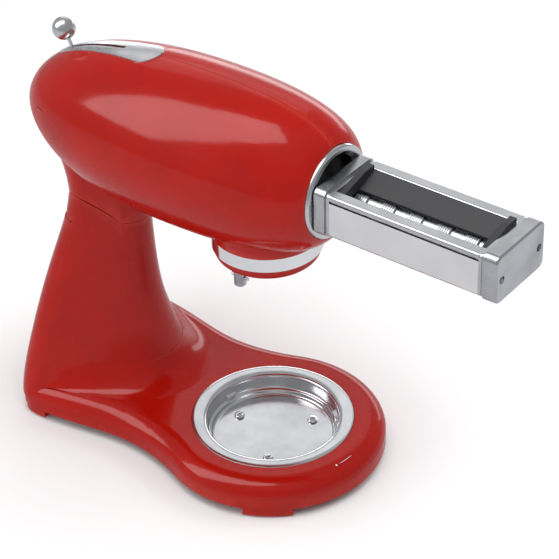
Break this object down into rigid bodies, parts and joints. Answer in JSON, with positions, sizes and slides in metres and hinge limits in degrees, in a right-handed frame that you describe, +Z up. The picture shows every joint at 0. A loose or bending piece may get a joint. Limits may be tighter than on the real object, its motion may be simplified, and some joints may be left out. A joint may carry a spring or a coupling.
{
  "type": "stand mixer with pasta cutter",
  "caption": "Tilt-head stand mixer whose front drive port carries a pasta cutter: two meshing grooved rollers in a steel housing, a planetary hub and a bowl seat in the base.",
  "frame": {"origin": "on the standing surface, under the middle of the machine's length and width", "axes": "+X towards the pasta cutter, +Z up, the machine's mirror plane is y = 0"},
  "size_m": [0.537, 0.221, 0.404],
  "materials": {
    "enamel": "glossy red enamel on die-cast aluminium",
    "polished": "polished chrome",
    "satin": "satin stainless steel",
    "dish": "pressed stainless steel, satin rim",
    "steel": "machined steel",
    "gearing": "cut and hardened steel",
    "casting": "bare die-cast aluminium",
    "bronze": "sintered bronze",
    "copper": "wound copper on steel laminations",
    "black_plastic": "black moulded plastic",
    "board": "circuit board",
    "carbon": "carbon",
    "foot": "grey-black rubber"
  },
  "bodies": {
    "base": {"base_casting": "enamel", "rubber_feet": "foot", "bowl_seat": "dish", "bowl_seat_screws": "steel", "hinge_pin": "steel", "cord_gland": "black_plastic", "latch_guide": "bronze"},
    "button": {"release_button": "polished", "latch_rod": "steel"},
    "head": {"head_casting": "enamel", "top_cover": "enamel", "speed_plate": "satin", "latch_catch": "steel", "port_ring": "satin", "port_socket": "black_plastic", "hub_band": "polished", "ring_gear": "gearing", "gearbox_floor": "casting", "drive_bearings": "steel", "stator": "copper", "rear_bracket": "casting", "reduction_gearbox": "casting", "carbon_brushes": "carbon", "gear_frame": "casting", "control_board": "board", "speed_rail": "black_plastic"},
    "speed_lever": {"lever_stem": "polished", "lever_knob": "polished", "lever_carriage": "black_plastic"},
    "rotor": {"motor_shaft": "steel", "armature": "copper", "cooling_fan": "black_plastic"},
    "output": {"output_shaft": "steel", "bevel_pinion": "gearing"},
    "hub": {"hub_cap": "enamel", "planet_carrier": "casting", "main_shaft": "steel", "crown_wheel": "gearing"},
    "beater": {"beater_shaft": "steel", "planet_gear": "gearing", "drive_pin": "steel"},
    "power_takeoff": {"pto_shaft": "steel", "pto_pinion": "gearing"},
    "cutter_frame": {"mount_flange": "satin", "end_cap": "satin", "end_cap_screws": "steel", "near_side_plate": "satin", "far_side_plate": "satin", "roller_bushes": "bronze", "cutter_housing": "satin", "front_rail": "satin", "rear_rail": "satin", "feed_guide": "black_plastic", "guide_cheeks": "black_plastic", "stripper_front": "steel", "stripper_rear": "steel"},
    "cutter_a": {"cutter_roller_a": "steel", "cutter_gear_a": "gearing"},
    "cutter_b": {"cutter_roller_b": "steel", "cutter_gear_b": "gearing"}
  },
  "joints": [
    {"name": "head_tilt", "type": "hinge", "parent": "base", "child": "head", "pos_m": [-0.205, 0, 0.224], "axis": [0, -1, 0], "range_deg": [0, 45]},
    {"name": "release_button_press", "type": "slide", "parent": "base", "child": "button", "axis": [1, 0, 0], "range_m": [0, 0.005], "stiffness_N_per_m": 500, "springref_m": -0.004},
    {"name": "speed_lever_slide", "type": "slide", "parent": "head", "child": "speed_lever", "axis": [0.9635, 0, 0.2676], "range_m": [0, 0.058]},
    {"name": "hub_spin", "type": "hinge", "parent": "head", "child": "hub", "pos_m": [0.001, 0, 0.25], "axis": [0, 0, 1], "continuous": true},
    {"name": "beater_spin", "type": "hinge", "parent": "hub", "child": "beater", "pos_m": [-0.01144, -0.0273, 0.25], "axis": [0, 0, 1], "continuous": true},
    {"name": "motor_spin", "type": "hinge", "parent": "head", "child": "rotor", "pos_m": [-0.129, 0, 0.325], "axis": [1, 0, 0], "continuous": true},
    {"name": "output_spin", "type": "hinge", "parent": "head", "child": "output", "pos_m": [-0.059, 0, 0.325], "axis": [1, 0, 0], "continuous": true},
    {"name": "takeoff_spin", "type": "hinge", "parent": "head", "child": "power_takeoff", "pos_m": [0.031, 0, 0.325], "axis": [1, 0, 0], "continuous": true},
    {"name": "cutter_pull_off", "type": "slide", "parent": "head", "child": "cutter_frame", "axis": [1, 0, 0], "range_m": [0, 0.06]},
    {"name": "cutter_a_spin", "type": "hinge", "parent": "cutter_frame", "child": "cutter_a", "pos_m": [0.171, 0, 0.325], "axis": [1, 0, 0], "continuous": true},
    {"name": "cutter_b_spin", "type": "hinge", "parent": "cutter_frame", "child": "cutter_b", "pos_m": [0.171, -0.02, 0.325], "axis": [1, 0, 0], "continuous": true}
  ],
  "couplings": [
    {"joint": "beater_spin", "follows": "hub_spin", "ratio": -4.3333},
    {"joint": "motor_spin", "follows": "hub_spin", "ratio": -21},
    {"joint": "output_spin", "follows": "hub_spin", "ratio": -1.75},
    {"joint": "takeoff_spin", "follows": "hub_spin", "ratio": 1.75},
    {"joint": "cutter_a_spin", "follows": "hub_spin", "ratio": 1.75},
    {"joint": "cutter_b_spin", "follows": "hub_spin", "ratio": -1.75}
  ]
}
